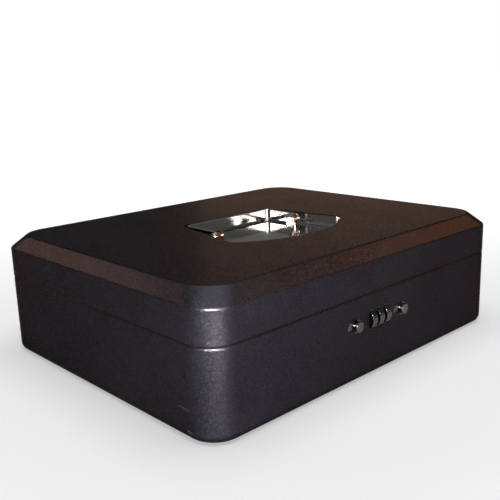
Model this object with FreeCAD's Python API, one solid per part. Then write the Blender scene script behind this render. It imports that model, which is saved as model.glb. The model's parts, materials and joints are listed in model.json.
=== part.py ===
"""Portable combination cash box: drawn steel base, chamfered lid, recessed bail handle,
three-dial slide lock, rear hinges and a lift-out coin tray.

Millimetres. The origin is the centre of the underside, +X along the lock side to the right,
+Y towards the hinges, +Z up.
"""
import FreeCAD, Part
import math
import os

from FreeCAD import Vector

# ---------------------------------------------------------------- driving dimensions

# Whole box
BOX_W = 300.0            # along X
BOX_D = 240.0            # along Y
BOX_H = 90.0             # to the lid's flat top
WALL = 1.0               # steel sheet of base and lid
CORNER_R = 20.0          # vertical corners, outside
BOTTOM_R = 6.0           # bend between floor and walls, outside
SEAM_Z = 59.1            # middle of the gap between base and lid
SEAM_GAP = 0.4

# Lid
CHAMFER_W = 8.5          # slope's width in plan
CHAMFER_H = 9.4          # slope's height
TOP_CORNER_R = 22.0      # corners of the flat top
LID_BEND_R = 2.2         # bends above and below the slope

# Base rim, which stands inside the lid's skirt
RIM_CLEAR = 0.3
RIM_T = 1.0
RIM_H = 6.9
SHOULDER_T = 1.6
SHOULDER_R = 2.4

# Recess in the lid
DISH_BACK_Y = 32.0       # back edge of the opening
DISH_BACK_HALF_W = 45.5  # half width at the back edge
DISH_FLARE_DEG = 11.0    # side edges open towards the front
DISH_FRONT_Y = -62.0     # middle of the bowed front edge
DISH_FRONT_R = 85.0
DISH_BACK_CORNER_R = 4.0
DISH_FRONT_CORNER_R = 10.0
DISH_T = 1.0
DISH_FLOOR_Z = 80.6      # upper face of the dish's floor
DISH_BEND_R = 2.5
DISH_FLANGE = 6.0
DISH_LIP = 0.5           # dish wall stands this far inside the opening

# Bail handle
PIVOT_Y = -4.0
PIVOT_Z = 86.2
BAIL_HALF_W = 43.6       # middle of each leg
BAIL_REACH = 32.5        # pivot to the middle of the grip
BAIL_H = 8.0             # width of the band
BAIL_T = 1.8
BAIL_BEND_R = 4.5
BAIL_EDGE_R = 0.35
RIVET_R = 1.6
RIVET_HEAD_R = 3.0
RIVET_HEAD_H = 1.8
LUG_X = 38.0             # middle of each lug
LUG_T = 1.5
LUG_W = 8.4
SLEEVE_R = 2.9
FACE_CLEAR = 0.3         # between a moving face and the face beside it
RUN_CLEAR = 0.05         # radial, between a shaft and what turns on it

# Rear hinges
HINGE_X = 80.0
HINGE_W = 40.0
LEAF_T = 1.0
KNUCKLE_R = 2.3
PIN_R = 1.25
KNUCKLE_GAP = 0.2
MID_KNUCKLE_W = 14.0
LEAF_LOW_Z = 38.0
LEAF_TOP_Z = 77.0
LEAF_CLEAR = 0.6         # leaf to the other leaf's knuckles
HINGE_RIVET_DX = 13.0
HINGE_RIVET_LOW_Z = 45.0
HINGE_RIVET_TOP_Z = 70.5
NOTCH_CLEAR = 0.4

# Lock
LOCK_Z = 40.0
DIAL_R = 8.0
DIAL_EDGE_R = 0.4
DIAL_W = 4.8
DIAL_PITCH = 7.7
DIAL_PROUD = 3.0
DIAL_COUNT = 3
DIGITS = 10
GROOVE_R = 0.7
GROOVE_OUT = 0.25        # groove's middle outside the dial's rim
GATE_HALF_W = 1.9
GATE_DEPTH = 1.8
SHAFT_R = 1.5
CODE_SLEEVE_R = 3.4
SLOT_SIDE = 0.35
SLOT_END = 0.45
SLIDE_T = 1.2
SLIDE_GAP = 0.5          # slide to the front wall
SLIDE_TRAVEL = 6.5
SLIDE_LEFT = 31.0
SLIDE_RIGHT = 37.5
SHELF_CLEAR = 1.2        # slide's shelf to the dials above it
SLIDE_TOP_Z = 54.0
WINDOW_CLEAR = 0.6
FENCE_T = 0.9
FENCE_W = 3.0
FENCE_CLEAR = 0.4
KNOB_X = 25.0
KNOB_R = 3.8
KNOB_FLANGE_R = 4.4
KNOB_FLANGE_H = 0.7
KNOB_H = 2.5
KNOB_EDGE_R = 0.7
KNOB_HOLLOW_R = 12.0     # ball that hollows the knob's face
KNOB_HOLLOW_DEPTH = 0.35
KNOB_SHANK_R = 1.9
KNOB_NECK_R = 1.3
TAB_Z = 51.0
TAB_W = 5.0
TAB_REACH = 5.0
HOOK_LEG_W = 7.0
HOOK_FOOT = 4.5
HOOK_ENGAGE = 0.8        # tab to leg when latched
HOOK_FOOT_H = 2.8
STRIKE_T = 1.0
STRIKE_Y_GAP = 0.8       # strike to slide
STRIKE_EDGE_XS = (-20.0, 24.0)
STRIKE_OVER_RIM = 1.5
STRIKE_FLANGE_H = 10.0

# Lock housing
HOUSE_HALF_W = 42.0
HOUSE_T = 1.0
DIAL_BACK_CLEAR = 2.0    # dials to the inside of the housing's back
HOUSE_UNDER = 5.0        # housing reaches this far below the dials
HOUSE_TOP_Z = 55.0
EAR_W = 10.0
EAR_LOW_Z = 29.0
EAR_TOP_Z = 53.0
STUD_R = 1.5
STUD_L = 6.0
STUD_ZS = (34.0, 48.0)
NUT_AF = 5.5
NUT_H = 2.4
BRACKET_X = 13.5         # inner face of each cheek
BRACKET_T = 1.2
BRACKET_HALF_H = 7.0
BRACKET_RIVET_IN = 4.0   # rivet to the cheek's inner face
BRACKET_RIVET_DOWN = 2.0 # rivet to the bracket's upper edge
CLIP_R = 2.0               # clears the slide, which passes close in front
CLIP_T = 0.6
SHAFT_OVER = 1.6
DETENT_T = 0.4
DETENT_W = 3.0
DETENT_DEG = -54.0
DETENT_CLEAR = 0.35      # middle of the finger's tip to the dial's rim
DETENT_UP = 0.6          # foot of the spring above the housing's lower edge
DETENT_BEND_UP = 4.0
SMALL_RIVET_R = 1.0
SMALL_RIVET_HEAD = 1.8
SMALL_RIVET_H = 0.6
LEVER_Z = 51.4
LEVER_TRAVEL = 4.0
LEVER_NECK = 2.0         # square neck through the housing's slot
LEVER_PLATE_W = 10.0
LEVER_PLATE_H = 4.4
LEVER_TAB_W = 5.0
LEVER_TAB_H = 4.0
LEVER_TAB_T = 2.2
LEVER_CLEAR = 0.2

# Coin tray and its rails
RAIL_TOP_Z = 28.0
RAIL_T = 1.0
RAIL_LEDGE = 10.0
RAIL_H = 12.0
RAIL_FRONT_IN = 5.0      # rail's ends inside the tray's
RAIL_BACK_IN = 20.0
TRAY_SIDE_CLEAR = 1.7    # tray to the base rim
TRAY_BACK_CLEAR = 2.7
TRAY_FRONT_CLEAR = 7.0   # tray to the lock housing
TRAY_H = 32.0
TRAY_T = 2.0
COIN_DEPTH = 77.0        # tray's front to the note bins
TRAY_SCOOP_R = 20.0
COIN_CUPS = 5
NOTE_BINS = 3

# ---------------------------------------------------------------- worked-out sizes

HALF_W = BOX_W / 2
HALF_D = BOX_D / 2
BASE_TOP_Z = SEAM_Z - SEAM_GAP / 2
LID_LOW_Z = SEAM_Z + SEAM_GAP / 2
SLOPE_LOW_Z = BOX_H - CHAMFER_H
RIM_OUT = WALL + RIM_CLEAR
RIM_IN = RIM_OUT + RIM_T
RIM_TOP_Z = SEAM_Z + RIM_H
WALL_IN_Y = HALF_D - WALL
FRONT_IN_Y = -WALL_IN_Y
HINGE_Y = WALL_IN_Y - LEAF_T + KNUCKLE_R
SHAFT_Y = -HALF_D - DIAL_PROUD + DIAL_R
DIAL_XS = [DIAL_PITCH * (i - (DIAL_COUNT - 1) / 2) for i in range(DIAL_COUNT)]
STACK_HALF_W = DIAL_PITCH * (DIAL_COUNT - 1) / 2 + DIAL_W / 2
CODE_SLEEVE_L = DIAL_PITCH - KNUCKLE_GAP
STACK_RIGHT_X = CODE_SLEEVE_L - STACK_HALF_W + DIAL_PITCH * (DIAL_COUNT - 1)
SLIDE_FRONT_Y = FRONT_IN_Y + SLIDE_GAP
SLIDE_BACK_Y = SLIDE_FRONT_Y + SLIDE_T
STRIKE_FRONT_Y = SLIDE_BACK_Y + STRIKE_Y_GAP
HOUSE_DEPTH = 2 * DIAL_R - DIAL_PROUD - WALL + DIAL_BACK_CLEAR + HOUSE_T
HOUSE_BACK_Y = FRONT_IN_Y + HOUSE_DEPTH
HOUSE_IN_Y = HOUSE_BACK_Y - HOUSE_T
BRACKET_BACK_Y = HOUSE_IN_Y
DIAL_LOW_Z = LOCK_Z - DIAL_R
SLIDE_LOW_Z = DIAL_LOW_Z - SHELF_CLEAR - SLIDE_T
HOUSE_LOW_Z = DIAL_LOW_Z - HOUSE_UNDER
DETENT_LOW_Z = HOUSE_LOW_Z + DETENT_UP
DETENT_BEND_Z = HOUSE_LOW_Z + DETENT_BEND_UP
DETENT_R = DIAL_R + DETENT_CLEAR
GROOVE_AT = DIAL_R + GROOVE_OUT
GATE_R = DIAL_R - GATE_DEPTH
LEAF_STEP = KNUCKLE_R + LEAF_CLEAR
TRAY_TOP_Z = RAIL_TOP_Z + TRAY_H
TRAY_HALF_W = HALF_W - RIM_IN - TRAY_SIDE_CLEAR
TRAY_BACK_Y = HALF_D - RIM_IN - TRAY_BACK_CLEAR
TRAY_FRONT_Y = HOUSE_BACK_Y + TRAY_FRONT_CLEAR
TRAY_SPLIT_Y = TRAY_FRONT_Y + COIN_DEPTH
RAIL_FRONT_Y = TRAY_FRONT_Y + RAIL_FRONT_IN
RAIL_BACK_Y = TRAY_BACK_Y - RAIL_BACK_IN

X_AXIS = Vector(1, 0, 0)
Y_AXIS = Vector(0, 1, 0)

os.makedirs("parts", exist_ok=True)


# ---------------------------------------------------------------- helpers

def save(name, shape):
    """Write one piece, or one group of like pieces, as a node."""
    shape.exportStep("parts/" + name + ".step")
    print(name, len(shape.Solids), round(shape.Volume, 1))


def box(x0, x1, y0, y1, z0, z1):
    return Part.makeBox(x1 - x0, y1 - y0, z1 - z0, Vector(x0, y0, z0))


def rod(radius, start, end):
    """Round bar from one point to another."""
    along = end - start
    return Part.makeCylinder(radius, along.Length, start, along)


def tube(outer, inner, start, end):
    return rod(outer, start, end).cut(rod(inner, start, end))


def polygon_prism(points, along):
    """Flat polygon swept straight along a vector."""
    wire = Part.makePolygon(points + [points[0]])
    return Part.Face(wire).extrude(along)


def mirrored(shape):
    """The same piece on the other side of the box's middle plane."""
    return shape.mirror(Vector(0, 0, 0), X_AXIS)


def outline(width, depth, radius, z):
    """Rounded rectangle about the Z axis, as one closed wire."""
    hx = width / 2
    hy = depth / 2
    bulge = radius * (1 - math.sqrt(0.5))
    edges = []
    for sx, sy, turn in ((1, -1, 0), (1, 1, 1), (-1, 1, 0), (-1, -1, 1)):
        corner = Vector(sx * hx, sy * hy, z)
        before = corner - Vector(sx * radius, 0, 0)
        after = corner - Vector(0, sy * radius, 0)
        if turn:
            before, after = after, before
        middle = corner - Vector(sx * bulge, sy * bulge, 0)
        edges.append(Part.Arc(before, middle, after).toShape())
    ring = []
    for i, arc in enumerate(edges):
        ring.append(arc)
        nxt = edges[(i + 1) % len(edges)]
        ring.append(Part.makeLine(arc.lastVertex(True).Point, nxt.firstVertex(True).Point))
    return Part.Wire(ring)


def slab(inset, z0, z1):
    """The box's plan, inset all round, between two heights."""
    wire = outline(BOX_W - 2 * inset, BOX_D - 2 * inset, CORNER_R - inset, z0)
    return Part.Face(wire).extrude(Vector(0, 0, z1 - z0))


def edges_at(shape, z):
    """Edges that lie wholly at one height."""
    found = []
    for edge in shape.Edges:
        bounds = edge.BoundBox
        if abs(bounds.ZMin - z) < 0.001 and abs(bounds.ZMax - z) < 0.001:
            found.append(edge)
    return found


def upright_edges(shape, x, y):
    """Upright edges that pass through a point of the plan."""
    found = []
    for edge in shape.Edges:
        bounds = edge.BoundBox
        middle = bounds.Center
        upright = bounds.XLength < 0.001 and bounds.YLength < 0.001
        if upright and abs(middle.x - x) < 0.01 and abs(middle.y - y) < 0.01:
            found.append(edge)
    return found


# ---------------------------------------------------------------- base

def obround_cut(x0, x1, z, half_h, y0, y1):
    """Slot with round ends through a wall that faces Y."""
    slot = box(x0 + half_h, x1 - half_h, y0, y1, z - half_h, z + half_h)
    for x in (x0 + half_h, x1 - half_h):
        slot = slot.fuse(rod(half_h, Vector(x, y0, z), Vector(x, y1, z)))
    return slot


def knob_slot_span(side):
    """Ends of the slot that one knob's shank slides in."""
    half = KNOB_SHANK_R + SLOT_SIDE
    return side * KNOB_X - SLIDE_TRAVEL - half, side * KNOB_X + half


def dial_slot_half_h():
    """Half height of a dial slot, from the dial's chord at the wall's inner face."""
    depth = SHAFT_Y - FRONT_IN_Y
    return math.sqrt(DIAL_R ** 2 - depth ** 2) + SLOT_END


def hinge_rivet_points(z):
    return [(side * HINGE_X + dx, z) for side in (-1, 1) for dx in (-HINGE_RIVET_DX, HINGE_RIVET_DX)]


def make_base():
    body = slab(0, 0, BASE_TOP_Z)
    body = body.makeFillet(BOTTOM_R, edges_at(body, 0))
    body = body.makeFillet(SHOULDER_R, edges_at(body, BASE_TOP_Z))
    cavity = slab(WALL, WALL, BASE_TOP_Z - SHOULDER_T)
    cavity = cavity.makeFillet(BOTTOM_R - WALL, edges_at(cavity, WALL))
    mouth = slab(RIM_IN, BASE_TOP_Z - SHOULDER_T, BASE_TOP_Z)
    rim_low_z = BASE_TOP_Z - SHOULDER_T
    rim = slab(RIM_OUT, rim_low_z, RIM_TOP_Z).cut(slab(RIM_IN, rim_low_z, RIM_TOP_Z))
    body = body.cut(cavity.fuse(mouth)).fuse(rim)
    outside = -HALF_D - WALL
    for x in DIAL_XS:
        half_w = DIAL_W / 2 + SLOT_SIDE
        half_h = dial_slot_half_h()
        body = body.cut(box(x - half_w, x + half_w, outside, FRONT_IN_Y + WALL,
                            LOCK_Z - half_h, LOCK_Z + half_h))
    for side in (-1, 1):
        x0, x1 = knob_slot_span(side)
        half_h = KNOB_SHANK_R + SLOT_SIDE
        body = body.cut(obround_cut(x0, x1, LOCK_Z, half_h, outside, FRONT_IN_Y + WALL))
        body = body.cut(hinge_notch(side, SEAM_Z - KNUCKLE_R - NOTCH_CLEAR, RIM_TOP_Z + WALL))
    for x, z in hinge_rivet_points(HINGE_RIVET_LOW_Z):
        body = body.cut(rod(RIVET_R, Vector(x, WALL_IN_Y - WALL, z), Vector(x, HALF_D + WALL, z)))
    return body.removeSplitter()


def hinge_notch(side, z0, z1):
    """Room in the back wall for a hinge's knuckles and leaves."""
    half_w = HINGE_W / 2 + NOTCH_CLEAR
    x = side * HINGE_X
    return box(x - half_w, x + half_w, HALF_D - RIM_IN - WALL, HALF_D + WALL, z0, z1)


# ---------------------------------------------------------------- lid

def lid_form(inset, low_z, slope_z, top_z, top_inset, top_r):
    """Skirt and slope as one solid, from its lower edge to its flat top."""
    skirt = slab(inset, low_z, slope_z)
    foot = outline(BOX_W - 2 * inset, BOX_D - 2 * inset, CORNER_R - inset, slope_z)
    head = outline(BOX_W - 2 * top_inset, BOX_D - 2 * top_inset, top_r, top_z)
    slope = Part.makeLoft([foot, head], True, True)
    return skirt.fuse(slope).removeSplitter()


def dish_corners(grow):
    """Right-hand corners of the recess, grown outwards all round."""
    flare = math.tan(math.radians(DISH_FLARE_DEG))
    back_y = DISH_BACK_Y + grow
    back_x = DISH_BACK_HALF_W + grow / math.cos(math.radians(DISH_FLARE_DEG)) - flare * grow
    centre_y = DISH_FRONT_Y + DISH_FRONT_R
    radius = DISH_FRONT_R + grow
    reach = back_x + flare * (back_y - centre_y)
    square = 1 + flare ** 2
    root = math.sqrt((reach * flare) ** 2 - square * (reach ** 2 - radius ** 2))
    drop = (reach * flare - root) / square
    return back_x, back_y, reach - flare * drop, centre_y + drop


def dish_form(grow, z0, z1):
    """Upright block with the recess's plan: straight back, flared sides, bowed front."""
    back_x, back_y, front_x, front_y = dish_corners(grow)
    right = Vector(front_x, front_y, z0)
    left = Vector(-front_x, front_y, z0)
    middle = Vector(0, DISH_FRONT_Y - grow, z0)
    back_right = Vector(back_x, back_y, z0)
    back_left = Vector(-back_x, back_y, z0)
    sides = [
        Part.Arc(left, middle, right).toShape(),
        Part.makeLine(right, back_right),
        Part.makeLine(back_right, back_left),
        Part.makeLine(back_left, left),
    ]
    block = Part.Face(Part.Wire(sides)).extrude(Vector(0, 0, z1 - z0))
    for x, y, radius in ((back_x, back_y, DISH_BACK_CORNER_R), (front_x, front_y, DISH_FRONT_CORNER_R)):
        corners = upright_edges(block, x, y) + upright_edges(block, -x, y)
        block = block.makeFillet(radius + grow, corners)
    return block


def make_lid():
    slope_run = CHAMFER_H / CHAMFER_W
    drop = WALL * math.hypot(1, slope_run)
    inner_slope_z = SLOPE_LOW_Z - drop + slope_run * WALL
    inner_top_inset = (BOX_H - WALL - SLOPE_LOW_Z + drop) / slope_run
    outer = lid_form(0, LID_LOW_Z, SLOPE_LOW_Z, BOX_H, CHAMFER_W, TOP_CORNER_R)
    outer = outer.makeFillet(LID_BEND_R, edges_at(outer, SLOPE_LOW_Z) + edges_at(outer, BOX_H))
    inner = lid_form(WALL, LID_LOW_Z, inner_slope_z, BOX_H - WALL, inner_top_inset, TOP_CORNER_R - WALL)
    lid = outer.cut(inner)
    lid = lid.cut(dish_form(0, DISH_FLOOR_Z, BOX_H + WALL))
    for side in (-1, 1):
        lid = lid.cut(hinge_notch(side, LID_LOW_Z - WALL, SEAM_Z + KNUCKLE_R + NOTCH_CLEAR))
    for x, z in hinge_rivet_points(HINGE_RIVET_TOP_Z):
        lid = lid.cut(rod(RIVET_R, Vector(x, WALL_IN_Y - WALL, z), Vector(x, HALF_D + WALL, z)))
    return lid


def make_dish():
    under = BOX_H - WALL
    outer = dish_form(DISH_T - DISH_LIP, DISH_FLOOR_Z - DISH_T, under)
    outer = outer.makeFillet(DISH_BEND_R + DISH_T, edges_at(outer, DISH_FLOOR_Z - DISH_T))
    flange = dish_form(DISH_FLANGE, under - DISH_T, under)
    inner = dish_form(-DISH_LIP, DISH_FLOOR_Z, under + DISH_T)
    inner = inner.makeFillet(DISH_BEND_R, edges_at(inner, DISH_FLOOR_Z))
    return outer.fuse(flange).cut(inner)


def make_lug():
    """Round-topped ear that stands on the dish's floor and carries a pivot rivet."""
    x0 = LUG_X - LUG_T / 2
    x1 = LUG_X + LUG_T / 2
    half = LUG_W / 2
    lug = box(x0, x1, PIVOT_Y - half, PIVOT_Y + half, DISH_FLOOR_Z, PIVOT_Z)
    lug = lug.fuse(rod(half, Vector(x0, PIVOT_Y, PIVOT_Z), Vector(x1, PIVOT_Y, PIVOT_Z)))
    lug = lug.removeSplitter()
    return lug.cut(rod(RIVET_R, Vector(x0, PIVOT_Y, PIVOT_Z), Vector(x1, PIVOT_Y, PIVOT_Z)))


def pivot_rivet():
    """Flat head inside the lug, shank through leg, domed head outside the leg."""
    leg_out = BAIL_HALF_W + BAIL_T / 2 + FACE_CLEAR
    lug_in = LUG_X - LUG_T / 2
    shank = rod(RIVET_R, Vector(lug_in, PIVOT_Y, PIVOT_Z), Vector(leg_out, PIVOT_Y, PIVOT_Z))
    seat = Vector(lug_in, PIVOT_Y, PIVOT_Z)
    flat = rod(RIVET_HEAD_R, seat - X_AXIS * SMALL_RIVET_H, seat)
    return shank.fuse(flat).fuse(dome(Vector(leg_out, PIVOT_Y, PIVOT_Z), X_AXIS))


def dome(seat, along, radius=RIVET_HEAD_R, height=RIVET_HEAD_H):
    """Domed rivet head that stands on a flat seat."""
    ball_r = (radius ** 2 + height ** 2) / (2 * height)
    centre = seat - along * (ball_r - height)
    ball = Part.makeSphere(ball_r, centre)
    return ball.common(rod(radius, seat, seat + along * height))


def pivot_sleeve():
    """Spacer on the rivet between the lug and the bail's leg."""
    start = Vector(LUG_X + LUG_T / 2, PIVOT_Y, PIVOT_Z)
    end = Vector(BAIL_HALF_W - BAIL_T / 2 - FACE_CLEAR, PIVOT_Y, PIVOT_Z)
    return tube(SLEEVE_R, RIVET_R, start, end)


def band_block(half_w, front_y, back_y, corner_r, z0, z1):
    """U-shaped band's filled plan, with rounded back corners."""
    block = box(-half_w, half_w, front_y, back_y, z0, z1)
    corners = upright_edges(block, half_w, back_y) + upright_edges(block, -half_w, back_y)
    return block.makeFillet(corner_r, corners)


def make_bail():
    """Flat band bent into a U, stored on edge in the recess with its grip to the back."""
    half = BAIL_T / 2
    z0 = PIVOT_Z - BAIL_H / 2
    z1 = PIVOT_Z + BAIL_H / 2
    back = PIVOT_Y + BAIL_REACH
    band = band_block(BAIL_HALF_W + half, PIVOT_Y, back + half, BAIL_BEND_R + half, z0, z1)
    band = band.cut(band_block(BAIL_HALF_W - half, PIVOT_Y - BAIL_T, back - half, BAIL_BEND_R - half, z0, z1))
    for side in (-1, 1):
        start = Vector(side * BAIL_HALF_W - half, PIVOT_Y, PIVOT_Z)
        end = Vector(side * BAIL_HALF_W + half, PIVOT_Y, PIVOT_Z)
        band = band.fuse(rod(BAIL_H / 2, start, end))
    band = band.removeSplitter()
    long_edges = [edge for edge in band.Edges if edge.BoundBox.ZLength < 0.001]
    band = band.makeFillet(BAIL_EDGE_R, long_edges)
    hole_r = RIVET_R + RUN_CLEAR
    return band.cut(rod(hole_r, Vector(-HALF_W, PIVOT_Y, PIVOT_Z), Vector(HALF_W, PIVOT_Y, PIVOT_Z)))


# ---------------------------------------------------------------- hinges

def knuckle(x0, x1, hole_r):
    start = Vector(x0, HINGE_Y, SEAM_Z)
    return tube(KNUCKLE_R, hole_r, start, Vector(x1, HINGE_Y, SEAM_Z))


def base_leaf(side):
    """Leaf on the base with the two outer knuckles, which grip the pin."""
    x = side * HINGE_X
    y0 = WALL_IN_Y - LEAF_T
    half = HINGE_W / 2
    gap = MID_KNUCKLE_W / 2 + KNUCKLE_GAP
    leaf = box(x - half, x + half, y0, WALL_IN_Y, LEAF_LOW_Z, SEAM_Z - LEAF_STEP)
    for x0, x1 in ((x - half, x - gap), (x + gap, x + half)):
        leaf = leaf.fuse(box(x0, x1, y0, WALL_IN_Y, SEAM_Z - LEAF_STEP, SEAM_Z))
        leaf = leaf.fuse(knuckle(x0, x1, PIN_R))
    leaf = leaf.cut(rod(PIN_R, Vector(x - half, HINGE_Y, SEAM_Z), Vector(x + half, HINGE_Y, SEAM_Z)))
    return drill_leaf(leaf, x, HINGE_RIVET_LOW_Z)


def lid_leaf(side):
    """Leaf on the lid with the middle knuckle, which turns on the pin."""
    x = side * HINGE_X
    y0 = WALL_IN_Y - LEAF_T
    half = HINGE_W / 2
    mid = MID_KNUCKLE_W / 2
    hole_r = PIN_R + RUN_CLEAR
    leaf = box(x - half, x + half, y0, WALL_IN_Y, SEAM_Z + LEAF_STEP, LEAF_TOP_Z)
    leaf = leaf.fuse(box(x - mid, x + mid, y0, WALL_IN_Y, SEAM_Z, SEAM_Z + LEAF_STEP))
    leaf = leaf.fuse(knuckle(x - mid, x + mid, hole_r))
    leaf = leaf.cut(rod(hole_r, Vector(x - mid, HINGE_Y, SEAM_Z), Vector(x + mid, HINGE_Y, SEAM_Z)))
    return drill_leaf(leaf, x, HINGE_RIVET_TOP_Z)


def drill_leaf(leaf, x, z):
    for dx in (-HINGE_RIVET_DX, HINGE_RIVET_DX):
        leaf = leaf.cut(rod(RIVET_R, Vector(x + dx, WALL_IN_Y - 2 * LEAF_T, z), Vector(x + dx, HALF_D, z)))
    return leaf


def hinge_pin(side):
    half = HINGE_W / 2 + KNUCKLE_GAP
    x = side * HINGE_X
    return rod(PIN_R, Vector(x - half, HINGE_Y, SEAM_Z), Vector(x + half, HINGE_Y, SEAM_Z))


def hinge_rivets(z):
    """Four rivets through a wall and a leaf, domed outside and flat inside."""
    rivets = []
    inner = WALL_IN_Y - LEAF_T
    for x, height in hinge_rivet_points(z):
        shank = rod(RIVET_R, Vector(x, inner, height), Vector(x, HALF_D, height))
        seat = Vector(x, inner, height)
        flat = rod(RIVET_HEAD_R - FACE_CLEAR, seat - Y_AXIS * SMALL_RIVET_H, seat)
        head = dome(Vector(x, HALF_D, height), Y_AXIS, RIVET_HEAD_R, RIVET_HEAD_H / 2)
        rivets.append(shank.fuse(flat).fuse(head))
    return Part.makeCompound(rivets)


# ---------------------------------------------------------------- lock

def make_dial(x):
    """Number wheel: ten shallow grooves between the digits and one gate for the fence."""
    start = Vector(x - DIAL_W / 2, SHAFT_Y, LOCK_Z)
    end = Vector(x + DIAL_W / 2, SHAFT_Y, LOCK_Z)
    dial = rod(DIAL_R, start, end)
    dial = dial.makeFillet(DIAL_EDGE_R, [edge for edge in dial.Edges if edge.Closed])
    for step in range(DIGITS):
        angle = math.radians(360 / DIGITS * (step + 0.5))
        groove = Vector(0, -GROOVE_AT * math.cos(angle), GROOVE_AT * math.sin(angle))
        dial = dial.cut(rod(GROOVE_R, start + groove, end + groove))
    gate = box(start.x, end.x, SHAFT_Y - GATE_HALF_W, SHAFT_Y + GATE_HALF_W,
               LOCK_Z - DIAL_R, LOCK_Z - GATE_R)
    return dial.cut(gate).cut(rod(CODE_SLEEVE_R, start, end))


def code_sleeve(x):
    """Brass sleeve inside a dial, long enough to space it from the next one."""
    start = Vector(x - DIAL_W / 2, SHAFT_Y, LOCK_Z)
    end = start + X_AXIS * CODE_SLEEVE_L
    return tube(CODE_SLEEVE_R, SHAFT_R + RUN_CLEAR, start, end)


def shaft_line(half):
    return Vector(-half, SHAFT_Y, LOCK_Z), Vector(half, SHAFT_Y, LOCK_Z)


def make_shaft():
    start, end = shaft_line(BRACKET_X + BRACKET_T + SHAFT_OVER)
    return rod(SHAFT_R, start, end)


def make_clips():
    """Retaining rings on both ends of the shaft."""
    x = BRACKET_X + BRACKET_T
    ring = tube(CLIP_R, SHAFT_R, Vector(x, SHAFT_Y, LOCK_Z), Vector(x + CLIP_T, SHAFT_Y, LOCK_Z))
    return Part.makeCompound([ring, mirrored(ring)])


def make_spacer():
    """Bush between the left cheek and the first dial."""
    start = Vector(-BRACKET_X, SHAFT_Y, LOCK_Z)
    end = Vector(-STACK_HALF_W - KNUCKLE_GAP, SHAFT_Y, LOCK_Z)
    return tube(CLIP_R, SHAFT_R, start, end)


def bracket_rivet_points():
    x = BRACKET_X - BRACKET_RIVET_IN
    z = LOCK_Z + BRACKET_HALF_H - BRACKET_RIVET_DOWN
    return [Vector(-x, HOUSE_IN_Y, z), Vector(x, HOUSE_IN_Y, z)]


def detent_rivet_points():
    return [Vector(x, HOUSE_IN_Y, DETENT_LOW_Z + SMALL_RIVET_HEAD) for x in (-DIAL_PITCH / 2, DIAL_PITCH / 2)]


def lock_rivet(point, plate_t):
    """Small rivet through the housing's back and a plate that lies against its inside."""
    front = point - Y_AXIS * plate_t
    back = point + Y_AXIS * HOUSE_T
    shank = rod(SMALL_RIVET_R, front, back)
    inner = rod(SMALL_RIVET_HEAD, front - Y_AXIS * (SMALL_RIVET_H / 2), front)
    outer = rod(SMALL_RIVET_HEAD, back, back + Y_AXIS * SMALL_RIVET_H)
    return shank.fuse(inner).fuse(outer)


def make_lock_rivets():
    rivets = [lock_rivet(point, BRACKET_T) for point in bracket_rivet_points()]
    rivets += [lock_rivet(point, DETENT_T) for point in detent_rivet_points()]
    return Part.makeCompound(rivets)


def drill_rivets(shape, points):
    for point in points:
        start = point - Y_AXIS * HOUSE_DEPTH / 2
        shape = shape.cut(rod(SMALL_RIVET_R, start, point + Y_AXIS * HOUSE_T))
    return shape


def make_bracket():
    """U-shaped bracket that carries the dial shaft inside the housing."""
    z0 = LOCK_Z - BRACKET_HALF_H
    z1 = LOCK_Z + BRACKET_HALF_H
    outer = BRACKET_X + BRACKET_T
    front = SLIDE_BACK_Y + FACE_CLEAR
    bracket = box(-outer, outer, front, BRACKET_BACK_Y, z0, z1)
    bracket = bracket.cut(box(-BRACKET_X, BRACKET_X, front, BRACKET_BACK_Y - BRACKET_T, z0, z1))
    start, end = shaft_line(outer)
    bracket = bracket.cut(rod(SHAFT_R, start, end))
    return drill_rivets(bracket, bracket_rivet_points())


def make_detent():
    """Leaf spring with one finger behind each dial."""
    angle = math.radians(DETENT_DEG)
    tip = Vector(0, SHAFT_Y + DETENT_R * math.cos(angle), LOCK_Z + DETENT_R * math.sin(angle))
    root = Vector(0, HOUSE_IN_Y - DETENT_T / 2, DETENT_BEND_Z)
    run = tip - root
    side = Vector(0, -run.z, run.y).normalize() * (DETENT_T / 2)
    half = DIAL_PITCH + DETENT_W / 2
    spring = box(-half, half, HOUSE_IN_Y - DETENT_T, HOUSE_IN_Y, DETENT_LOW_Z, DETENT_BEND_Z)
    for x in DIAL_XS:
        shift = Vector(x - DETENT_W / 2, 0, 0)
        corners = [root + side, tip + side, tip - side, root - side]
        finger = polygon_prism([point + shift for point in corners], X_AXIS * DETENT_W)
        spring = spring.fuse(finger)
    spring = spring.common(box(-HALF_W, HALF_W, -HALF_D, HOUSE_IN_Y, 0, BOX_H))
    return drill_rivets(spring.removeSplitter(), detent_rivet_points())


def stud_points():
    x = HOUSE_HALF_W + EAR_W / 2
    return [(side * x, z) for side in (-1, 1) for z in STUD_ZS]


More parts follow.
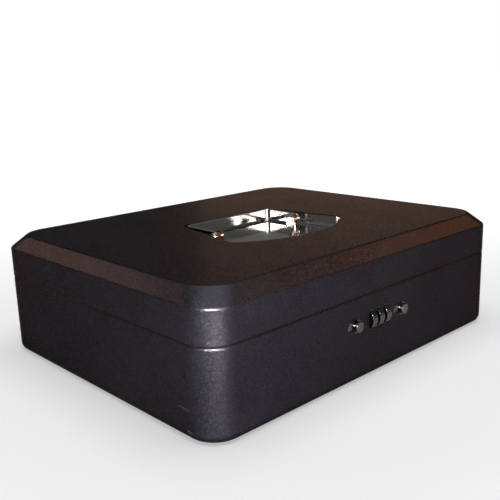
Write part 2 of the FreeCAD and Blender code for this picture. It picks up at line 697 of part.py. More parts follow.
def make_housing():
    """Hat-shaped steel cover: back, two sides, and ears that bolt to the front wall."""
    housing = box(-HOUSE_HALF_W, HOUSE_HALF_W, FRONT_IN_Y, HOUSE_BACK_Y, HOUSE_LOW_Z, HOUSE_TOP_Z)
    inside = HOUSE_HALF_W - HOUSE_T
    housing = housing.cut(box(-inside, inside, FRONT_IN_Y, HOUSE_IN_Y, HOUSE_LOW_Z, HOUSE_TOP_Z))
    for side in (-1, 1):
        x0, x1 = sorted((side * HOUSE_HALF_W, side * (HOUSE_HALF_W + EAR_W)))
        housing = housing.fuse(box(x0, x1, FRONT_IN_Y, FRONT_IN_Y + HOUSE_T, EAR_LOW_Z, EAR_TOP_Z))
    for x, z in stud_points():
        housing = housing.cut(rod(STUD_R + RUN_CLEAR, Vector(x, FRONT_IN_Y, z), Vector(x, HOUSE_BACK_Y, z)))
    housing = drill_rivets(housing, bracket_rivet_points() + detent_rivet_points())
    slot = LEVER_NECK / 2 + LEVER_CLEAR
    housing = housing.cut(box(-slot, slot + LEVER_TRAVEL, HOUSE_IN_Y, HOUSE_BACK_Y,
                              LEVER_Z - slot, LEVER_Z + slot))
    return housing.removeSplitter()


def make_studs():
    studs = []
    for x, z in stud_points():
        root = Vector(x, FRONT_IN_Y, z)
        studs.append(rod(STUD_R, root, root + Y_AXIS * STUD_L))
    return Part.makeCompound(studs)


def make_nuts():
    nuts = []
    y = FRONT_IN_Y + HOUSE_T
    corner = NUT_AF / math.sqrt(3)
    for x, z in stud_points():
        turns = [math.radians(60 * i) for i in range(6)]
        points = [Vector(x + corner * math.cos(a), y, z + corner * math.sin(a)) for a in turns]
        nut = polygon_prism(points, Y_AXIS * NUT_H)
        nuts.append(nut.cut(rod(STUD_R, Vector(x, y, z), Vector(x, y + NUT_H, z))))
    return Part.makeCompound(nuts)


def centred(width, height, y0, y1):
    """Block centred on the code-change lever's place."""
    return box(-width / 2, width / 2, y0, y1, LEVER_Z - height / 2, LEVER_Z + height / 2)


def make_lever():
    """Code-change lever: plate inside the housing, neck through its slot, thumb tab outside."""
    plate_y = HOUSE_IN_Y - LEVER_CLEAR
    tab_y = HOUSE_BACK_Y + LEVER_CLEAR
    lever = centred(LEVER_PLATE_W, LEVER_PLATE_H, plate_y - LEAF_T, plate_y)
    lever = lever.fuse(centred(LEVER_NECK, LEVER_NECK, plate_y, tab_y))
    lever = lever.fuse(centred(LEVER_TAB_W, LEVER_TAB_H, tab_y, tab_y + LEVER_TAB_T))
    return lever.removeSplitter()


def latch_tab_span(edge_x):
    """A latch tab's ends at rest, from the strike edge that it locks against."""
    x0 = edge_x + HOOK_ENGAGE + SLIDE_TRAVEL
    return x0, x0 + TAB_W


def make_slide():
    """Bent plate behind the wall: window for the dials, fence fingers and two latch tabs."""
    slide = box(-SLIDE_LEFT, SLIDE_RIGHT, SLIDE_FRONT_Y, SLIDE_BACK_Y, SLIDE_LOW_Z, SLIDE_TOP_Z)
    depth = SHAFT_Y - SLIDE_BACK_Y
    half_h = math.sqrt(DIAL_R ** 2 - depth ** 2) + WINDOW_CLEAR
    left = -STACK_HALF_W - WINDOW_CLEAR
    right = STACK_RIGHT_X + WINDOW_CLEAR + SLIDE_TRAVEL
    slide = slide.cut(box(left, right, SLIDE_FRONT_Y, SLIDE_BACK_Y, LOCK_Z - half_h, LOCK_Z + half_h))
    shelf_y = SHAFT_Y + FENCE_W / 2 + WINDOW_CLEAR
    shelf_top = SLIDE_LOW_Z + SLIDE_T
    slide = slide.fuse(box(left, right, SLIDE_BACK_Y, shelf_y, SLIDE_LOW_Z, shelf_top))
    finger_top = LOCK_Z - GATE_R - FENCE_CLEAR
    for x in DIAL_XS:
        x0 = x + DIAL_W / 2 + FENCE_CLEAR
        slide = slide.fuse(box(x0, x0 + FENCE_T, SHAFT_Y - FENCE_W / 2, SHAFT_Y + FENCE_W / 2,
                               shelf_top, finger_top))
    for edge_x in STRIKE_EDGE_XS:
        x0, x1 = latch_tab_span(edge_x)
        slide = slide.fuse(box(x0, x1, SLIDE_BACK_Y, SLIDE_BACK_Y + TAB_REACH, TAB_Z, TAB_Z + SLIDE_T))
    for side in (-1, 1):
        x = side * KNOB_X
        slide = slide.cut(rod(KNOB_NECK_R, Vector(x, SLIDE_FRONT_Y, LOCK_Z), Vector(x, SLIDE_BACK_Y, LOCK_Z)))
    return slide.removeSplitter()


def make_knob(side):
    """Turned knob: flange and grip outside, shank through the slot, neck riveted in the slide."""
    x = side * KNOB_X
    seat = -HALF_D - FACE_CLEAR
    face = seat - KNOB_FLANGE_H - KNOB_H
    grip = rod(KNOB_R, Vector(x, face, LOCK_Z), Vector(x, seat - KNOB_FLANGE_H, LOCK_Z))
    rim = [edge for edge in grip.Edges if edge.Closed and abs(edge.BoundBox.YMax - face) < 0.001]
    grip = grip.makeFillet(KNOB_EDGE_R, rim)
    dished = Part.makeSphere(KNOB_HOLLOW_R, Vector(x, face - KNOB_HOLLOW_R + KNOB_HOLLOW_DEPTH, LOCK_Z))
    grip = grip.cut(dished)
    flange = rod(KNOB_FLANGE_R, Vector(x, seat - KNOB_FLANGE_H, LOCK_Z), Vector(x, seat, LOCK_Z))
    shank = rod(KNOB_SHANK_R, Vector(x, seat, LOCK_Z), Vector(x, SLIDE_FRONT_Y, LOCK_Z))
    neck = rod(KNOB_NECK_R, Vector(x, SLIDE_FRONT_Y, LOCK_Z), Vector(x, SLIDE_BACK_Y, LOCK_Z))
    end = Vector(x, SLIDE_BACK_Y, LOCK_Z)
    upset = rod(KNOB_SHANK_R, end, end + Y_AXIS * SMALL_RIVET_H)
    return grip.fuse(flange).fuse(shank).fuse(neck).fuse(upset)


def make_strike():
    """Plate on the lid: flange on the skirt, step over the rim, two hooked legs."""
    edge_left = min(STRIKE_EDGE_XS) - HOOK_LEG_W
    edge_right = max(STRIKE_EDGE_XS) + HOOK_FOOT
    step_z = RIM_TOP_Z + STRIKE_OVER_RIM
    back_y = STRIKE_FRONT_Y + STRIKE_T
    strike = box(edge_left, edge_right, FRONT_IN_Y, FRONT_IN_Y + STRIKE_T, step_z, step_z + STRIKE_FLANGE_H)
    strike = strike.fuse(box(edge_left, edge_right, FRONT_IN_Y, back_y, step_z, step_z + STRIKE_T))
    foot_top = TAB_Z - FACE_CLEAR
    foot_low = foot_top - HOOK_FOOT_H
    for edge_x in STRIKE_EDGE_XS:
        strike = strike.fuse(box(edge_x - HOOK_LEG_W, edge_x, STRIKE_FRONT_Y, back_y, foot_low, step_z))
        strike = strike.fuse(box(edge_x, edge_x + HOOK_FOOT, STRIKE_FRONT_Y, back_y, foot_low, foot_top))
    return strike.removeSplitter()


# ---------------------------------------------------------------- coin tray

def make_rail():
    """Angle on the right-hand wall that the tray stands on."""
    wall_x = HALF_W - WALL
    rail = box(wall_x - RAIL_T, wall_x, RAIL_FRONT_Y, RAIL_BACK_Y, RAIL_TOP_Z - RAIL_H, RAIL_TOP_Z)
    ledge = box(wall_x - RAIL_LEDGE, wall_x, RAIL_FRONT_Y, RAIL_BACK_Y, RAIL_TOP_Z - RAIL_T, RAIL_TOP_Z)
    return rail.fuse(ledge).removeSplitter()


def trough(x0, x1, y0, y1, z0, z1, radius):
    """Block along X whose two long lower edges are rounded, as a scooped cup is."""
    block = box(x0, x1, y0, y1, z0, z1)
    low = [edge for edge in block.Edges if edge.BoundBox.XLength > 1 and edge.BoundBox.ZMax < z0 + 0.001]
    return block.makeFillet(radius, low)


def bins(count, x0, x1, divider):
    """Equal spans side by side, with a divider between them."""
    width = (x1 - x0 - divider * (count - 1)) / count
    return [(x0 + i * (width + divider), x0 + i * (width + divider) + width) for i in range(count)]


def make_tray():
    """Moulded tray: scooped coin cups in front, flat note bins behind."""
    split_front = TRAY_SPLIT_Y - TRAY_T
    coin = trough(-TRAY_HALF_W, TRAY_HALF_W, TRAY_FRONT_Y, TRAY_SPLIT_Y, RAIL_TOP_Z, TRAY_TOP_Z,
                  TRAY_SCOOP_R + TRAY_T)
    note = box(-TRAY_HALF_W, TRAY_HALF_W, TRAY_SPLIT_Y - TRAY_T, TRAY_BACK_Y, RAIL_TOP_Z, TRAY_TOP_Z)
    tray = coin.fuse(note)
    back_r = CORNER_R - RIM_IN - TRAY_SIDE_CLEAR
    back = upright_edges(tray, TRAY_HALF_W, TRAY_BACK_Y) + upright_edges(tray, -TRAY_HALF_W, TRAY_BACK_Y)
    tray = tray.makeFillet(back_r, back)
    x0 = -TRAY_HALF_W + TRAY_T
    x1 = TRAY_HALF_W - TRAY_T
    floor_z = RAIL_TOP_Z + TRAY_T
    for left, right in bins(COIN_CUPS, x0, x1, TRAY_T):
        tray = tray.cut(trough(left, right, TRAY_FRONT_Y + TRAY_T, split_front, floor_z,
                               TRAY_TOP_Z + TRAY_T + TRAY_SCOOP_R, TRAY_SCOOP_R))
    spans = bins(NOTE_BINS, x0, x1, TRAY_T)
    for i, (left, right) in enumerate(spans):
        hollow = box(left, right, TRAY_SPLIT_Y, TRAY_BACK_Y - TRAY_T, floor_z, TRAY_TOP_Z + TRAY_T)
        if i == 0:
            hollow = hollow.makeFillet(back_r - TRAY_T, upright_edges(hollow, left, TRAY_BACK_Y - TRAY_T))
        if i == len(spans) - 1:
            hollow = hollow.makeFillet(back_r - TRAY_T, upright_edges(hollow, right, TRAY_BACK_Y - TRAY_T))
        tray = tray.cut(hollow)
    return tray


# ---------------------------------------------------------------- build

save("base_shell", make_base())
save("lid_shell", make_lid())
save("handle_dish", make_dish())
save("bail_handle", make_bail())

for label, flip in (("right", False), ("left", True)):
    pieces = {
        "pivot_lug_": make_lug(),
        "pivot_rivet_": pivot_rivet(),
        "pivot_sleeve_": pivot_sleeve(),
        "tray_rail_": make_rail(),
    }
    for stem, piece in pieces.items():
        save(stem + label, mirrored(piece) if flip else piece)

for label, side in (("right", 1), ("left", -1)):
    save("base_hinge_leaf_" + label, base_leaf(side))
    save("lid_hinge_leaf_" + label, lid_leaf(side))
    save("hinge_pin_" + label, hinge_pin(side))
    save("slide_knob_" + label, make_knob(side))
save("base_hinge_rivets", hinge_rivets(HINGE_RIVET_LOW_Z))
save("lid_hinge_rivets", hinge_rivets(HINGE_RIVET_TOP_Z))

save("lock_housing", make_housing())
save("housing_studs", make_studs())
save("housing_nuts", make_nuts())
save("dial_bracket", make_bracket())
save("lock_rivets", make_lock_rivets())
save("dial_shaft", make_shaft())
save("shaft_clips", make_clips())
save("shaft_spacer", make_spacer())
save("detent_spring", make_detent())
for number, dial_x in enumerate(DIAL_XS, 1):
    save("dial_" + str(number), make_dial(dial_x))
    save("code_sleeve_" + str(number), code_sleeve(dial_x))
save("latch_slide", make_slide())
save("code_change_lever", make_lever())
save("lid_strike", make_strike())
save("coin_tray", make_tray())
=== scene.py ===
# %% [markdown]
# # A steel cash box, finished
# The box is a drawn steel base under a hinged lid, both in charcoal powder coat. A bright nickel
# dish in the lid holds a bail handle, and three chromed number dials sit between two knobs in
# the front. The construction is fixed before this script starts: here every piece gets its
# surface, the dials get their numbers, and the box gets a floor, lamps and a camera.

import json
import math

import bmesh
import bpy
from mathutils import Matrix, Vector


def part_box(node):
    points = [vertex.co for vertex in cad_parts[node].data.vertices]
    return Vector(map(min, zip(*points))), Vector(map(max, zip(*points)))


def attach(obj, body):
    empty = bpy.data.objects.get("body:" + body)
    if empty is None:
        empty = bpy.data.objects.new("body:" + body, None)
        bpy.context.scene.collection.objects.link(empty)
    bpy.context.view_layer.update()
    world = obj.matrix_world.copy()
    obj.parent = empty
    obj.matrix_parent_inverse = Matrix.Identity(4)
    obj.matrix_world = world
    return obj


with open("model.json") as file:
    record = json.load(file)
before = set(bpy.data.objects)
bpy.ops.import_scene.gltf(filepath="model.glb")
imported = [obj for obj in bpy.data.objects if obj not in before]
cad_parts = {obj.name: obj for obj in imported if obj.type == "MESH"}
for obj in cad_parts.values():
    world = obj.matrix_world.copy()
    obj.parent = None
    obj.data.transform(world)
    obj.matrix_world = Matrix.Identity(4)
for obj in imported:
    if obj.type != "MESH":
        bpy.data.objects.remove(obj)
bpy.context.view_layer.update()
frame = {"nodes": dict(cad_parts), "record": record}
MM = 0.001
print("pieces in the frame:", len(frame["nodes"]))

# %% [markdown]
# ## Colours and shader nodes
# Colours are picked as sRGB hex, the way a paint chart gives them, and turned to linear light
# once, by one function. Each material could be clicked together by hand, but then its numbers
# are hidden in the nodes. A second function adds a shader node with its settings and its links,
# so that each material reads as a short list of steps.

# %% Three small helpers
def linear(hex_colour):
    """sRGB hex such as "1b1c1f" to linear red, green, blue, alpha."""
    parts = [int(hex_colour[i:i + 2], 16) / 255 for i in (0, 2, 4)]
    light = [c / 12.92 if c <= 0.04045 else ((c + 0.055) / 1.055) ** 2.4 for c in parts]
    return (*light, 1.0)


def add(tree, kind, settings=None, links=None):
    """Adds one shader node. Both dicts go by input name or number, or by a property's name."""
    node = tree.nodes.new(kind)
    for key, value in (settings or {}).items():
        if isinstance(key, int) or key in node.inputs:
            node.inputs[key].default_value = value
        else:
            setattr(node, key, value)
    for key, source in (links or {}).items():
        tree.links.new(source, node.inputs[key])
    return node


def new_material(name, settings):
    """A material with one Principled shader. Returns the material, its tree and the shader."""
    material = bpy.data.materials.new(name)
    material.use_nodes = True
    tree = material.node_tree
    tree.nodes.clear()
    shader = add(tree, "ShaderNodeBsdfPrincipled", settings)
    add(tree, "ShaderNodeOutputMaterial", links={"Surface": shader.outputs["BSDF"]})
    return material, tree, shader


print("charcoal in linear light:", [round(c, 4) for c in linear("222125")])

# %% [markdown]
# ## Charcoal powder coat
# Powder coat is dry paint, sprayed on and melted in an oven. It never levels like wet lacquer:
# it keeps a fine orange peel, and this one carries metal flakes. Each flake lies at its own small
# angle, so under a lamp some catch it and their neighbours don't, and the eye reads a black with
# a soft, broken sheen. It could be a dark plastic under a clear lacquer, but that mirrors a pale
# floor in the sides. Here the flakes make the surface: a dark metal with a dark, slightly warm
# edge tint, under a thin skin of resin that adds a faint sharper shine on the bends.

# %% Sizes and tints of the coat
PAINT = ("222125", "28272c")
FLAKE = "38373e"
UNDERCOAT = "605f5c"     # shows where the coat is worn through
EDGE_TINT = "a59a92"     # keeps the sides from turning pale when seen at a slant
DULLNESS = (0.38, 0.44)  # roughness, lowest and highest
HANDLED_SIZE = 45 * MM   # patches in tint and dullness from handling
PEEL_SIZE = 0.8 * MM     # one ripple of the orange peel
PEEL_DEPTH = 0.03 * MM
FLAKE_SIZE = 0.5 * MM    # real flakes are near 0.05 mm: drawn this coarse so that they show
FLAKE_LEAN = 0.24        # sideways part of a flake's normal, edge to edge of its range
FLAKE_POWER = 3.0        # leaves only a few flakes lighter than the paint
CLOUD_RANGE = {"From Min": 0.3, "From Max": 0.7}   # where nearly all of a noise's values lie
print("flakes across the lid:", round(300 * MM / FLAKE_SIZE))

# %% Wear marks
WEAR_MARKS = [  # a scratch in two strokes, then a chip, by the front left corner, all in mm:
    # start, end, half width
    ((-150, -89.5, 19.1), (-150, -94.4, 19.8), 0.10),
    ((-150, -94.4, 19.8), (-150, -100.7, 19.2), 0.25),
    ((-150, -98.7, 6.5), (-149.9, -102.1, 5.9), 0.40),
]


def worn_share(tree, point):
    """1 where a wear mark has gone through the coat, 0 elsewhere."""
    worn = None
    for start, end, half_width in WEAR_MARKS:
        begin = Vector(start) * MM
        along = Vector(end) * MM - begin
        offset = add(tree, "ShaderNodeVectorMath", {"operation": "SUBTRACT", 1: begin}, {0: point})
        share = add(tree, "ShaderNodeVectorMath",
                    {"operation": "DOT_PRODUCT", 1: along / along.length_squared},
                    {0: offset.outputs["Vector"]})
        held = add(tree, "ShaderNodeClamp", links={"Value": share.outputs["Value"]})
        nearest = add(tree, "ShaderNodeVectorMath", {"operation": "SCALE", 0: along},
                      {"Scale": held.outputs["Result"]})
        away = add(tree, "ShaderNodeVectorMath", {"operation": "DISTANCE"},
                   {0: offset.outputs["Vector"], 1: nearest.outputs["Vector"]})
        mark = add(tree, "ShaderNodeMath", {"operation": "LESS_THAN", 1: half_width * MM},
                   {0: away.outputs["Value"]}).outputs["Value"]
        if worn:
            mark = add(tree, "ShaderNodeMath", {"operation": "MAXIMUM"},
                       {0: worn, 1: mark}).outputs["Value"]
        worn = mark
    return worn


print("wear marks:", len(WEAR_MARKS))

# %% Powder coat
def powder_coat():
    material, tree, shader = new_material("powder_coated_steel", {
        "Metallic": 1.0,
        "Specular Tint": linear(EDGE_TINT),
        "Coat Weight": 0.03,
        "Coat Roughness": 0.15,
        "Coat IOR": 1.5,
    })
    point = add(tree, "ShaderNodeTexCoord").outputs["Object"]
    drift = add(tree, "ShaderNodeTexNoise", {"Scale": 1 / HANDLED_SIZE, "Detail": 3.0},
                {"Vector": point})
    paint = add(tree, "ShaderNodeMix", {"data_type": "RGBA", 6: linear(PAINT[0]), 7: linear(PAINT[1])},
                {0: drift.outputs["Fac"]})
    flakes = add(tree, "ShaderNodeTexVoronoi", {"Scale": 1 / FLAKE_SIZE}, {"Vector": point})
    pick = add(tree, "ShaderNodeSeparateColor", links={"Color": flakes.outputs["Color"]})
    bright = add(tree, "ShaderNodeMath", {"operation": "POWER", 1: FLAKE_POWER},
                 {0: pick.outputs["Red"]})
    colour = add(tree, "ShaderNodeMix", {"data_type": "RGBA", 7: linear(FLAKE)},
                 {0: bright.outputs["Value"], 6: paint.outputs[2]})
    scuffed = add(tree, "ShaderNodeMix", {"data_type": "RGBA", 7: linear(UNDERCOAT)},
                  {0: worn_share(tree, point), 6: colour.outputs[2]})
    dulling = add(tree, "ShaderNodeMapRange",
                  {**CLOUD_RANGE, "To Min": DULLNESS[0], "To Max": DULLNESS[1]},
                  {"Value": drift.outputs["Fac"]})
    ripple = add(tree, "ShaderNodeTexNoise", {"Scale": 1 / PEEL_SIZE}, {"Vector": point})
    peel = add(tree, "ShaderNodeBump", {"Distance": PEEL_DEPTH}, {"Height": ripple.outputs["Fac"]})
    offset = add(tree, "ShaderNodeVectorMath", {"operation": "SUBTRACT", 1: (0.5, 0.5, 0.5)},
                 {0: flakes.outputs["Color"]})
    lean = add(tree, "ShaderNodeVectorMath", {"operation": "MULTIPLY_ADD", 1: (FLAKE_LEAN,) * 3},
               {0: offset.outputs["Vector"], 2: peel.outputs["Normal"]})
    facing = add(tree, "ShaderNodeVectorMath", {"operation": "NORMALIZE"},
                 {0: lean.outputs["Vector"]})
    tree.links.new(scuffed.outputs[2], shader.inputs["Base Color"])
    tree.links.new(dulling.outputs["Result"], shader.inputs["Roughness"])
    tree.links.new(facing.outputs["Vector"], shader.inputs["Normal"])
    return material


finishes = {"powder_coated_steel": powder_coat()}
print("nodes in the coat:", len(finishes["powder_coated_steel"].node_tree.nodes))

# %% [markdown]
# ## Cloudy finishes
# The metals, the tray's plastic and the dials' ink could each have a tree of their own. They
# share one recipe instead, because they differ only in colour, in how smooth their making left
# them, and in the size of the waves in their surface. A slow cloud moves the tint and the
# roughness, and a wave moves the height. A metal keeps the default index of refraction, and the
# plastic and the enamel have their own.

# %% One recipe
def cloudy(name, settings, colours, roughness, cloud_size, wave_size, wave_depth):
    """Surface whose tint and roughness drift in clouds, with a wave left in its height."""
    material, tree, shader = new_material(name, settings)
    point = add(tree, "ShaderNodeTexCoord").outputs["Object"]
    cloud = add(tree, "ShaderNodeTexNoise", {"Scale": 1 / cloud_size, "Detail": 4.0},
                {"Vector": point})
    tint = add(tree, "ShaderNodeMix",
               {"data_type": "RGBA", 6: linear(colours[0]), 7: linear(colours[1])},
               {0: cloud.outputs["Fac"]})
    dulling = add(tree, "ShaderNodeMapRange",
                  {**CLOUD_RANGE, "To Min": roughness[0], "To Max": roughness[1]},
                  {"Value": cloud.outputs["Fac"]})
    wave = add(tree, "ShaderNodeTexNoise", {"Scale": 1 / wave_size, "Detail": 1.0},
               {"Vector": point})
    height = add(tree, "ShaderNodeBump", {"Distance": wave_depth}, {"Height": wave.outputs["Fac"]})
    tree.links.new(tint.outputs[2], shader.inputs["Base Color"])
    tree.links.new(dulling.outputs["Result"], shader.inputs["Roughness"])
    tree.links.new(height.outputs["Normal"], shader.inputs["Normal"])
    return material


# %% The finishes of this box
METAL = {"Metallic": 1.0}
RECIPES = [  # name, settings, two tints, roughness, then cloud, wave and wave depth in mm
    # Bright nickel, plated on pressed steel: almost a mirror, with the slow waves of the press.
    ("nickel_plated_steel", METAL, ("bbb9b5", "b1afab"), (0.09, 0.13), 20, 26, 0.05),
    # Copper, plated thinly on rolled steel: a warm, soft shine with fine flecks.
    ("copper_plated_steel", METAL, ("c29070", "a87350"), (0.14, 0.26), 2, 1.5, 0.01),
    # Zinc, plated in a barrel: a dull, pale grey in spangled patches.
    ("zinc_plated_steel", METAL, ("aeb1b4", "94979b"), (0.32, 0.46), 6, 4, 0.02),
    # Spring steel, rolled and hardened: a darker grey with a soft shine.
    ("spring_steel", METAL, ("84868a", "6c6e73"), (0.24, 0.36), 4, 3, 0.01),
    # Brass, turned on a lathe: yellow, with a fine blur from the tool.
    ("turned_brass", METAL, ("d0ab62", "b8914a"), (0.18, 0.3), 3, 1, 0.01),
    # Chrome on die-cast zinc, with a painted reflection: its tint is darkened and browned to stand in
    # for the dark room it mirrors, and its small sharp glints come from the lamps.
    ("chromed_zinc", METAL, ("5e5a59", "4c4847"), (0.09, 0.13), 3, 2, 0.01),
    # ABS from a spark-eroded mould: an even, fine pebble that scatters the light.
    ("moulded_abs", {"IOR": 1.53}, ("232427", "2c2d30"), (0.42, 0.6), 60, 0.7, 0.03),
    # Black stoving enamel in the dials' numbers: dense, slightly glossy, a little uneven.
    ("enamel_ink", {"IOR": 1.5}, ("0c0c0d", "1d1d1f"), (0.3, 0.5), 0.8, 0.8, 0.01),
]
for name, settings, tints, roughness, *lengths in RECIPES:
    finishes[name] = cloudy(name, settings, tints, roughness, *(length * MM for length in lengths))
print("finishes:", ", ".join(finishes))

# %% Give each piece its finish
slot_of = {entry["node"]: entry["material_slot"] for entry in frame["record"]["subparts"]}
for node_name, piece in frame["nodes"].items():
    piece.data.materials.clear()
    piece.data.materials.append(finishes[slot_of[node_name]])
print("dressed pieces:", len(slot_of))

# %% [markdown]
# ## Numbers on the dials
# Each dial carries the digits 0 to 9. On the real wheel they are cast in and filled with black
# enamel. They could be painted on by a texture, but then they would be no shape of their own.
# Here each digit is cut from a plain typeface, sliced across so that it can bend, and wrapped
# round the wheel's rim, a hair proud of the metal.

# %% One flat digit
DIGIT_H = 3.3 * MM
SLICE = 0.35 * MM        # height of a strip, short enough to follow the rim


def flat_digit(text):
    """A digit as a flat mesh about the origin, sliced into strips along its height."""
    curve = bpy.data.curves.new("digit_curve", "FONT")
    curve.body = text
    curve.size = 1.0
    curve.align_x = "CENTER"
    source = bpy.data.objects.new("digit_source", curve)
    mesh = bpy.data.meshes.new_from_object(source)
    bpy.data.objects.remove(source)
    work = bmesh.new()
    work.from_mesh(mesh)
    low = min(v.co.y for v in work.verts)
    high = max(v.co.y for v in work.verts)
    scale = DIGIT_H / (high - low)
    for vert in work.verts:
        vert.co = Vector((vert.co.x * scale, (vert.co.y - (low + high) / 2) * scale, 0))
    cuts = int(DIGIT_H / SLICE)
    for i in range(1, cuts):
        height = -DIGIT_H / 2 + i * DIGIT_H / cuts
        geometry = work.verts[:] + work.edges[:] + work.faces[:]
        bmesh.ops.bisect_plane(work, geom=geometry, plane_co=(0, height, 0), plane_no=(0, 1, 0))
    return work


print("strips in a digit:", int(DIGIT_H / SLICE))

# %% Ten digits round one rim
DIGITS = 10


def dial_digits(number, centre_x, shaft_y, shaft_z, radius):
    """All ten digits of one dial as a single mesh on the rim."""
    joined = bpy.data.meshes.new(f"dial_{number}_digits")
    whole = bmesh.new()
    for digit in range(DIGITS):
        work = flat_digit(str(digit))
        turn = math.tau * digit / DIGITS
        for vert in work.verts:
            angle = turn + vert.co.y / radius
            vert.co = Vector((centre_x + vert.co.x, shaft_y - radius * math.cos(angle),
                              shaft_z + radius * math.sin(angle)))
        part = bpy.data.meshes.new("digit_part")
        work.to_mesh(part)
        work.free()
        whole.from_mesh(part)
        bpy.data.meshes.remove(part)
    whole.to_mesh(joined)
    whole.free()
    piece = bpy.data.objects.new(f"dial_{number}_digits", joined)
    bpy.context.scene.collection.objects.link(piece)
    joined.materials.append(finishes["enamel_ink"])
    return piece


print("degrees from digit to digit:", 360 / DIGITS)

# %% The three dials
INK_PROUD = 0.02 * MM
shaft_low, shaft_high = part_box("dial_shaft")
shaft_y = (shaft_low[1] + shaft_high[1]) / 2
shaft_z = (shaft_low[2] + shaft_high[2]) / 2
for number in (1, 2, 3):
    low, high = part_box(f"dial_{number}")
    radius = (high[1] - low[1]) / 2 + INK_PROUD
    digits = dial_digits(number, (low[0] + high[0]) / 2, shaft_y, shaft_z, radius)
    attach(digits, f"dial_{number}_wheel")
    print(digits.name, "faces:", len(digits.data.polygons))

# %% [markdown]
# ## Floor and sky
# The box stands in a white studio. Strong lamps on a white floor would whiten it, and the box
# with it. Instead the pale background is the floor's and the sky's own light, shown only to the
# camera and to anything shiny or clear, so nothing on the box is overlit. Around the box the
# floor glows less, so that it keeps the shadow.

# %% Rays that see the background
def seen_directly(tree):
    """1 for rays from the camera, a mirror or glass, 0 for rays that gather soft light."""
    path = add(tree, "ShaderNodeLightPath").outputs
    shiny = add(tree, "ShaderNodeMath", {"operation": "MAXIMUM"},
                {0: path["Is Glossy Ray"], 1: path["Is Transmission Ray"]})
    return add(tree, "ShaderNodeMath", {"operation": "MAXIMUM"},
               {0: path["Is Camera Ray"], 1: shiny.outputs["Value"]}).outputs["Value"]


# %% Floor
FLOOR_HALF = 30.0        # far enough to run out of sight
FLOOR_TINT = "d8d8d8"
NEAR_GLOW = 0.42         # the floor's own light around the box
FAR_GLOW = 1.0           # and further out, where a strength of 1 is white
GLOW_FROM = 0.2          # metres from the middle of the box, where the glow starts to rise
GLOW_TO = 0.9            # and where it is full


def make_floor():
    mesh = bpy.data.meshes.new("floor")
    corners = [(-1, -1), (1, -1), (1, 1), (-1, 1)]
    mesh.from_pydata([(FLOOR_HALF * x, FLOOR_HALF * y, 0) for x, y in corners], [], [(0, 1, 2, 3)])
    floor = bpy.data.objects.new("floor", mesh)
    bpy.context.scene.collection.objects.link(floor)
    material = bpy.data.materials.new("pale_floor")
    material.use_nodes = True
    tree = material.node_tree
    tree.nodes.clear()
    matt = add(tree, "ShaderNodeBsdfDiffuse", {"Color": linear(FLOOR_TINT)})
    spot = add(tree, "ShaderNodeTexCoord").outputs["Object"]
    run = add(tree, "ShaderNodeVectorMath", {"operation": "LENGTH"}, {0: spot})
    level = add(tree, "ShaderNodeMapRange", {
        "From Min": GLOW_FROM, "From Max": GLOW_TO, "To Min": NEAR_GLOW, "To Max": FAR_GLOW,
    }, {"Value": run.outputs["Value"]})
    strength = add(tree, "ShaderNodeMath", {"operation": "MULTIPLY"},
                   {0: seen_directly(tree), 1: level.outputs["Result"]})
    glow = add(tree, "ShaderNodeEmission", links={"Strength": strength.outputs["Value"]})
    both = add(tree, "ShaderNodeAddShader",
               links={0: matt.outputs["BSDF"], 1: glow.outputs["Emission"]})
    add(tree, "ShaderNodeOutputMaterial", links={"Surface": both.outputs["Shader"]})
    mesh.materials.append(material)


make_floor()
print("floor side in metres:", 2 * FLOOR_HALF)

# %% Sky
SKY_LEVEL = 0.14         # the dim studio above the white backdrop
BACKDROP_TOP = 0.02      # height of the backdrop's edge, as the upward part of a ray
BACKDROP_FADE = 0.02     # and the height over which that edge fades out


def make_sky():
    world = bpy.data.worlds.new("studio")
    bpy.context.scene.world = world
    world.use_nodes = True
    tree = world.node_tree
    tree.nodes.clear()
    ray = add(tree, "ShaderNodeTexCoord").outputs["Generated"]
    rise = add(tree, "ShaderNodeSeparateXYZ", links={"Vector": ray})
    backdrop = add(tree, "ShaderNodeMapRange", {
        "From Min": BACKDROP_TOP, "From Max": BACKDROP_TOP + BACKDROP_FADE,
        "To Min": 1.0, "To Max": 0.0,
    }, {"Value": rise.outputs["Z"]})
    reflected = add(tree, "ShaderNodeMath", {"operation": "MULTIPLY"},
                    {0: seen_directly(tree), 1: backdrop.outputs["Result"]})
    camera_ray = add(tree, "ShaderNodeLightPath").outputs["Is Camera Ray"]
    white = add(tree, "ShaderNodeMath", {"operation": "MAXIMUM"},
                {0: camera_ray, 1: reflected.outputs["Value"]})
    level = add(tree, "ShaderNodeMapRange", {"To Min": SKY_LEVEL, "To Max": 1.0},
                {"Value": white.outputs["Value"]})
    back = add(tree, "ShaderNodeBackground", {"Color": (1, 1, 1, 1)},
               {"Strength": level.outputs["Result"]})
    add(tree, "ShaderNodeOutputWorld", links={"Surface": back.outputs["Background"]})


make_sky()
print("sky level above the backdrop:", SKY_LEVEL)

# %% [markdown]
# ## Lamps
# One wide lamp overhead lights the box softly. Dark, shiny steel shows little of it: what the eye
# reads is what the steel mirrors. So the other lamps show in gloss only, and leave matt surfaces
# alone. A soft strip and a small spot by the camera draw the lines of light on the bends and on
# the shoulder under the seam. Three warm cards, like lit walls of a room, brown the top and its
# slopes. They shine on the coated steel only, because the bright dish and the dials would show
# them as orange patches.

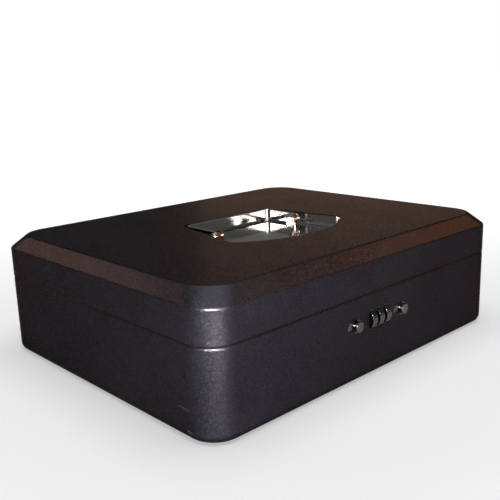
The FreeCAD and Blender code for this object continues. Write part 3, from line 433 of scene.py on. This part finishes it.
# %% One lamp
def lamp(name, where, aim, size, power, colour="ffffff", lights_matt=True, only_on=None):
    """Soft rectangular lamp that faces a point. One that doesn't light matt surfaces only shines
    in gloss, and only_on is a collection of the only pieces that it shines on."""
    light = bpy.data.lights.new(name, "AREA")
    light.shape = "RECTANGLE"
    light.size = size[0]
    light.size_y = size[1]
    light.energy = power
    light.color = linear(colour)[:3]
    thing = bpy.data.objects.new(name, light)
    thing.location = where
    thing.rotation_euler = (Vector(aim) - Vector(where)).to_track_quat("-Z", "Y").to_euler()
    thing.visible_camera = False
    thing.visible_diffuse = lights_matt
    if only_on:
        thing.light_linking.receiver_collection = only_on
    bpy.context.scene.collection.objects.link(thing)


# %% The coated pieces, for the cards
coated = bpy.data.collections.new("coated_pieces")
for node_name, piece in frame["nodes"].items():
    if slot_of[node_name] == "powder_coated_steel":
        coated.objects.link(piece)

# %% All the lamps
CARDS = [  # name, place, the point it faces, size, power, colour
    ("card_behind", (1.7, 1.3, 0.65), (0, 0, 0.08), (1.1, 0.8), 3.8, "f0c8a0"),
    ("card_left", (-0.67, 1.80, 0.91), (-0.146, 0.06, 0.085), (0.6, 0.6), 12.0, "e8c8b0"),
    ("card_right", (1.83, -0.60, 0.99), (0.12, -0.116, 0.085), (0.8, 0.6), 14.0, "e8a870"),
]
lamp("overhead", where=(0.0, -0.1, 1.6), aim=(0, 0, 0.05), size=(1.4, 1.4), power=15)
lamp("corner_strip", where=(-0.30, -0.60, 0.17), aim=(-0.10, -0.12, 0.05), size=(0.25, 0.30),
     power=6.0, colour="f6e2e2", lights_matt=False)
lamp("corner_spot", where=(-0.40, -0.42, 0.24), aim=(-0.14, -0.11, 0.06), size=(0.05, 0.05),
     power=12.0, lights_matt=False)
for card in CARDS:
    lamp(*card, lights_matt=False, only_on=coated)

# %% [markdown]
# ## Camera
# The camera looks down past the front left corner from a little over half a metre, which shows
# the top, the left side and the lock in the front. It could track an empty at the middle of the
# box, but that can't tip the horizon, so its three angles are given and its axes built from them.

# %% Camera
CAMERA_AT = Vector((-0.3717, -0.3901, 0.2006))
YAW = math.radians(43.25)
PITCH = math.radians(13.89)
ROLL = math.radians(-1.77)
LENS_MM = 51.0
SENSOR_MM = 36.0
NEAREST_SEEN = 10 * MM


def make_camera():
    ahead = Vector((math.sin(YAW) * math.cos(PITCH), math.cos(YAW) * math.cos(PITCH),
                    -math.sin(PITCH)))
    level_right = Vector((math.cos(YAW), -math.sin(YAW), 0))
    level_up = level_right.cross(ahead)
    right = math.cos(ROLL) * level_right + math.sin(ROLL) * level_up
    up = math.cos(ROLL) * level_up - math.sin(ROLL) * level_right
    turn = Matrix((right, up, -ahead)).transposed().to_4x4()
    camera_data = bpy.data.cameras.new("camera")
    camera_data.lens = LENS_MM
    camera_data.sensor_width = SENSOR_MM
    camera_data.clip_start = NEAREST_SEEN
    camera = bpy.data.objects.new("camera", camera_data)
    camera.matrix_world = Matrix.Translation(CAMERA_AT) @ turn
    bpy.context.scene.collection.objects.link(camera)
    bpy.context.scene.camera = camera


make_camera()
bpy.context.scene.view_settings.view_transform = "Standard"
print("metres from the camera to the middle of the floor:", round(CAMERA_AT.length, 3))
